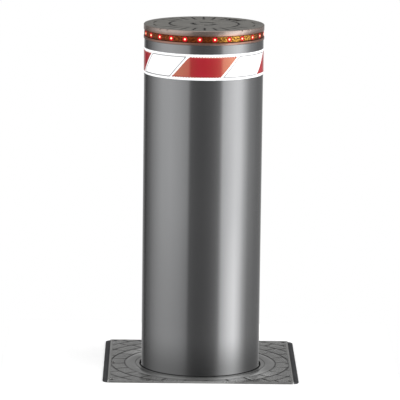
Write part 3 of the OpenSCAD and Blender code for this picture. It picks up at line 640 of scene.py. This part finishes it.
# The ram is a black painted barrel on a chromed rod. The rod stands on the pit
# floor with a bronze piston at its top, and the barrel lifts the column.
soften("ram_barrel", "ram_gland", "ram_head", width=0.0008)
black_paint = Finish("black_paint", Coat_Weight=0.3)
black_paint.skin((0.012, 0.013, 0.014), (0.022, 0.023, 0.025), 20.0, (0.25, 0.36), 900.0, 0.00006)
black_paint.on("ram_barrel", "ram_gland", "ram_head")
soften("ram_rod", width=0.0008)
chrome = Finish("hard_chrome", Metallic=1.0)
chrome.skin((0.60, 0.61, 0.62), (0.68, 0.69, 0.70), 20.0, (0.05, 0.12), 700.0, 0.00001)
chrome.relief(chrome.noise(1800.0, 2.0, (0.05, 0.05, 1.0)), 0.00002)
chrome.on("ram_rod")
soften("ram_piston", width=0.0004)
bronze = Finish("turned_bronze", Metallic=1.0)
bronze.skin((0.46, 0.27, 0.11), (0.58, 0.36, 0.16), 60.0, (0.2, 0.34), 900.0, 0.00004)
bronze.on("ram_piston")

# The power unit hangs from the bulkhead: a painted motor, a moulded oil tank
# and a machined valve block with its pipe.
soften("pump_motor", "oil_tank", "valve_block", "oil_pipe", width=0.0015)
motor_paint = Finish("machine_paint", Coat_Weight=0.2)
motor_paint.skin((0.035, 0.075, 0.13), (0.05, 0.10, 0.165), 25.0, (0.32, 0.45), 1000.0, 0.0001)
motor_paint.on("pump_motor")
tank = Finish("tank_moulding", Subsurface_Weight=0.2, Subsurface_Radius=(0.01, 0.01, 0.008))
tank.skin((0.62, 0.62, 0.56), (0.72, 0.72, 0.67), 12.0, (0.35, 0.5), 800.0, 0.0001)
tank.on("oil_tank")
milled = Finish("milled_aluminium", Metallic=1.0)
milled.skin((0.55, 0.55, 0.56), (0.66, 0.66, 0.67), 50.0, (0.2, 0.34), 900.0, 0.00005)
milled.relief(milled.noise(2400.0, 1.0, (0.05, 1.0, 1.0)), 0.00005)
milled.on("valve_block", "oil_pipe")
soften("sensor_magnet", width=0.001)
magnet = Finish("magnet_case")
magnet.skin((0.24, 0.012, 0.010), (0.31, 0.02, 0.016), 60.0, (0.35, 0.5), 1500.0, 0.0001)
magnet.on("sensor_magnet")

# The head's seat ring is cast aluminium, turned on its rim. Its colour is tinted warm all over, and red just under
# the lens, as painted glow of the lamps above it.
soften("head_seat", width=0.0006)
seat_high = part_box("head_seat")[1]
warm = Finish("seat_aluminium", Metallic=0.75)
warm.skin((0.22, 0.15, 0.13), (0.27, 0.19, 0.165), 30.0, (0.24, 0.34), 1200.0, 0.00005)
# Painted lamp glow: red just under the lens.
painted_lamp_glow = warm.z.step(seat_high.z - 0.022, seat_high.z - 0.0155) * warm.r.step(0.136, 0.138)
warm.tint(painted_lamp_glow * 0.5, (0.30, 0.10, 0.05))
warm.on("head_seat")

# The lamp strip is a flexible circuit board round the seat's wall. Its copper
# tracks show between the lamps.
board = Finish("circuit_strip")
board.skin((0.01, 0.055, 0.02), (0.015, 0.075, 0.03), 300.0, (0.3, 0.45), 900.0, 0.00004)
tracks = ((board.turn * 300.0).fraction() - 0.5).abs().step(0.30, 0.42)
board.tint(tracks, (0.35, 0.22, 0.08))
board.on("lamp_strip")

# Each lamp is a small square body soldered to the strip. All of them are lit
# red.
soften("lamps", width=0.0006)
lamp = Finish("red_lamp", Emission_Strength=6.0, Emission_Color=(1.0, 0.16, 0.06))
lamp.skin((0.7, 0.02, 0.015), (0.8, 0.05, 0.03), 400.0, (0.2, 0.3), 1500.0, 0.00002)
lamp.on("lamps")

# The light band is moulded in amber polycarbonate with fine upright prisms. It is drawn opaque: each lamp behind it
# is painted on its surface as emission, a white hot point in a red glow with a darker red halo in its colour, and a
# dim amber glow lies between. Two opposite sectors, towards the front right and back left, carry a painted yellow
# highlight in their specks.
lens_low, lens_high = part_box("light_lens")
lens_r, lens_wall = lens_high.x, 0.0043
lens_in_r = lens_r - lens_wall
lamp_count, lamp_first = 25, math.radians(-94.6)
prisms, per_prism, prism_depth, belly = 288, 4, 0.00035, 0.0011
# The outside falls back at top and bottom by belly (2t - 1)^4, t up its height.
# Prism by prism, its radius falls and rises again by a saw of the prism's depth.
t = np.linspace(0, 1, 9)
outer_line = np.stack([lens_r - belly * (2 * t - 1) ** 4, lens_low.z + t * (lens_high.z - lens_low.z)], -1)
lens_line = np.concatenate([outer_line, [(lens_in_r, lens_high.z), (lens_in_r, lens_low.z)]])
around = prisms * per_prism
ridge = prism_depth * np.abs(np.linspace(0, 2 * prisms, around, endpoint=False) % 2 - 1)
angle = 2 * np.pi * np.arange(around) / around
ridged = lens_line[:, :1] - np.where(np.arange(len(lens_line))[:, None] < len(t), 1, 0) * ridge
lens_points = np.stack([ridged * np.cos(angle), ridged * np.sin(angle), lens_line[:, 1:] + 0 * angle], -1)
lens_faces = torus_faces(len(lens_line), around)[:, [0, 3, 2, 1]]
lens = piece("prism_lens", lens_points.reshape(-1, 3), lens_faces, "column", "amber_lens")
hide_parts("light_lens")
amber = Finish("amber_lens", Metallic=0.95, Emission_Strength=1.0)
speck = amber.noise(300.0, 2.0, (1.0, 1.0, 1.6))
# Painted highlight: yellow specks in two opposite sectors, towards the front right and back left.
clear = amber.sectors(-55.0, 0.45, 0.95) * speck.step(0.44, 0.56)
amber.colour = amber.mix(speck.step(0.46, 0.60), (0.030, 0.007, 0.002), (0.16, 0.048, 0.008))
amber.colour = amber.mix(clear, amber.colour, (0.46, 0.27, 0.045))
amber.feed("Base Color", amber.colour)
amber.feed("Roughness", 0.16 + 0.16 * speck)
pitch = 2 * math.pi / lamp_count
from_lamp = ((amber.turn - lamp_first / (2 * math.pi)) * lamp_count + 0.5).fraction() - 0.5
across = from_lamp * (lens_r * pitch)
upward = amber.z - (lens_low.z + lens_high.z) / 2
gap = (across * across + upward * upward).sqrt()
# Painted glow: each lamp's light is drawn on the opaque lens as emission, a white hot point in a red halo.
glow = amber.mix(speck.step(0.35, 0.65), (0.050, 0.009, 0.003), (0.100, 0.020, 0.005))
glow = amber.mix(gap.step(0.0072, 0.0034), glow, (0.88, 0.006, 0.030))
glow = amber.mix(gap.step(0.0025, 0.0011), glow, (3.0, 2.2, 1.1))
amber.feed("Emission Color", glow)
# Painted glow: a darker red halo round each lamp, in the lens's colour.
amber.tint(gap.step(0.0074, 0.0050), (0.06, 0.002, 0.003))
amber.relief(speck, 0.0002)
amber.on(lens)

# The cap is cast aluminium with a machined rim. Its top carries cast lines and the pocket of the manual release: dirt
# spreads along both, and the faces below the top are painted near black as shade. The rim is tinted warm, and red
# towards its foot, as painted glow of the lamps below it.
soften("head_cap", width=0.0004, angle=40)
cap_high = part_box("head_cap")[1]
cap = Finish("cap_aluminium", Metallic=0.4, Specular_IOR_Level=0.6)
cap.skin((0.160, 0.153, 0.140), (0.195, 0.188, 0.170), 26.0, (0.40, 0.5), 1300.0, 0.00006)
cap_dirt = cap.noise(150.0, 6.0)
cap.tint(cap_dirt.step(0.55, 0.72) * 0.3, (0.10, 0.096, 0.088))
# Dirt spreads a little past the cast lines: nine strokes at front and back, an
# arc at either side, and the three arcs of the mark in the middle.
from_front = ((cap.turn * 2).fraction() - 0.5) * 180
from_side = ((cap.turn * 2 + 0.5).fraction() - 0.5).abs() * 180
stroke_step, stroke_in, stroke_out, side_arc_r, mark_r = 13.5, 0.079, 0.120, 0.080, 0.026
off_stroke = ((from_front / stroke_step + 0.5).fraction() - 0.5).abs() * cap.r * math.radians(stroke_step)
off_mark = (((cap.turn * 360 - 70) / 120 + 0.5).fraction() - 0.5).abs() * 120
marks = off_stroke.step(0.0038, 0.0024)
marks = marks * cap.r.step(stroke_in - 0.004, stroke_in) * cap.r.step(stroke_out + 0.005, stroke_out)
marks = marks * from_front.abs().step(62.0, 60.0)
marks = marks + (cap.r - side_arc_r).abs().step(0.0036, 0.0022) * from_side.step(39.0, 37.0)
marks = marks + (cap.r - mark_r).abs().step(0.0080, 0.0050) * off_mark.step(42.0, 39.0)
cap.tint(marks * (0.75 + 0.25 * cap_dirt.step(0.35, 0.6)), (0.020, 0.019, 0.017))
rim_in = 0.1372
# Painted shade: inside the rim, every face lower than the top is near black.
inside = cap.r.step(rim_in + 0.0002, rim_in - 0.0006)
cap.tint(inside * cap.z.step(cap_high.z - 0.0003, cap_high.z - 0.0009), (0.010, 0.009, 0.009))
rim = cap.r.step(rim_in, rim_in + 0.0008)
# Painted lamp glow: the rim is tinted warm all over, and red towards its foot.
cap.tint(rim, (0.32, 0.255, 0.228))
cap.tint(rim * cap.z.step(cap_high.z - 0.006, cap_high.z - 0.012) * 0.6, (0.32, 0.13, 0.08))
cap.feed("Metallic", 0.35 + 0.45 * rim)
cap.feed("Roughness", 0.42 - 0.18 * rim)
cap.on("head_cap")

# The release spindle is turned from brass, with a hexagon for the key. Grime
# darkens its head.
soften("release_spindle", width=0.0004)
brass = Finish("turned_brass", Metallic=1.0)
brass.skin((0.48, 0.34, 0.12), (0.60, 0.44, 0.18), 90.0, (0.22, 0.36), 1200.0, 0.00005)
brass.tint(brass.z.step(cap_high.z - 0.008, cap_high.z - 0.006), (0.07, 0.055, 0.035))
brass.on("release_spindle")

# The band is a sleeve of white reflective film. It is stuck on under the head
# and its edges lie flat on the coat.
band_low, band_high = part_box("reflective_band")
band_r = band_high.x
film_t = 0.0003
band_line = eased([(band_r - film_t, band_low.z), (band_r, band_low.z), (band_r, band_high.z),
                   (band_r - film_t, band_high.z)], 0.0001)
band = turned("film_sleeve", band_line, "column", "white_film", 360)
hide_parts("reflective_band")
# Painted light: the film glows faintly white of itself.
white_film = Finish("white_film", Emission_Strength=0.35, Emission_Color=(1.0, 1.0, 1.0), IOR=1.6)
white_film.skin((0.86, 0.87, 0.88), (0.90, 0.91, 0.92), 40.0, (0.2, 0.28), 1500.0, 0.00002)
white_film.on(band)


# Slanted panels are cut from red and white film and laid on the sleeve. The red
# ones have a pinked top and bottom edge, and the white ones a sealed line inside
# their edge.
tooth_pitch = 0.0066


def panels(name, firsts, widths, lean, radius, thick, low, high, teeth, slot):
    """A shell for each first and width. At s across and t up a panel, the angle is first + s width + t lean, and
    the height runs from low to high, less a row of teeth at either end. The shell closes round its four edges."""
    across, upward, slant = 145, 13, 0.84
    s, t = np.meshgrid(np.linspace(0, 1, across), np.linspace(0, 1, upward))
    k = np.arange(across * upward).reshape(upward, across)
    front = np.stack([k[:-1, :-1], k[:-1, 1:], k[1:, 1:], k[1:, :-1]], -1).reshape(-1, 4)
    loop = np.concatenate([k[0, :-1], k[:-1, -1], k[-1, :0:-1], k[:0:-1, 0]])
    ahead = np.roll(loop, -1)
    edge = np.stack([loop, loop + k.size, ahead + k.size, ahead], -1)
    shell = np.concatenate([front, front[:, ::-1] + k.size, edge])
    shells, places = [], []
    for first, width in zip(firsts, widths):
        angle = first + s * width + t * lean
        tooth = teeth * np.abs((s * width * radius / tooth_pitch) % 1 - 0.5) * 2
        z = low + t * (high - low) + tooth * ((1 - t) ** 12 - t ** 12)
        shells.append(np.concatenate([np.stack([r * np.cos(angle), r * np.sin(angle), z], -1).reshape(-1, 3)
                                      for r in (radius, radius - thick)]))
        edge_gap = np.minimum(np.minimum(s, 1 - s) * width * radius * slant, np.minimum(t, 1 - t) * (high - low))
        places.append(np.tile(edge_gap.ravel(), 2))
    thing = piece(name, *many(shells, shell, len(shells)), "column", slot)
    inward = thing.data.attributes.new("inward", "FLOAT", "POINT")
    inward.data.foreach_set("value", np.concatenate(places).astype(np.float32))
    return thing


red_low, red_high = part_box("red_panels")
white_low, white_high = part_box("white_panels")
panel_r, panel_t, tooth_depth = 0.1382, 0.0002, 0.0024
lean = math.radians(18.0)
red_firsts, red_widths = np.radians([[-122.2, -28.45, 61.55, 151.55], [47.5, 40.0, 40.0, 40.0]])
white_firsts, white_widths = np.radians([[-72.2, 14.05, 104.05, 194.05], [41.25, 45.0, 45.0, 41.25]])
red = panels("red_film", red_firsts, red_widths, lean, panel_r, panel_t,
             red_low.z, red_high.z, tooth_depth, "red_film")
white = panels("white_film_panels", white_firsts, white_widths, lean, panel_r, panel_t,
               white_low.z, white_high.z, 0.0, "white_film")
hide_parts("red_panels")
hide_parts("white_panels")
crimson = Finish("red_film", IOR=1.9, Specular_IOR_Level=0.70, Specular_Tint=(1.0, 0.9, 0.5))
crimson.skin((0.42, 0.0004, 0.022), (0.46, 0.0008, 0.028), 30.0, (0.06, 0.08), 1500.0, 0.00001)
crimson.on(red)
# Painted light: the white panels glow faintly white of themselves, but not on their sealed line.
edged = Finish("white_panel_film", Emission_Strength=0.35, Emission_Color=(1.0, 1.0, 1.0), IOR=1.6)
edged.skin((0.86, 0.87, 0.88), (0.90, 0.91, 0.92), 40.0, (0.2, 0.28), 1500.0, 0.00002)
inward = edged.node("ShaderNodeAttribute", {"attribute_name": "inward"}, output="Fac")
seal_inset = 0.0011
sealed = (inward - seal_inset).abs().step(0.0016, 0.0009)
edged.tint(sealed, (0.42, 0.42, 0.43))
edged.feed("Emission Color", edged.mix(sealed, (1.0, 1.0, 1.0), (0.0, 0.0, 0.0)))
edged.on(white)
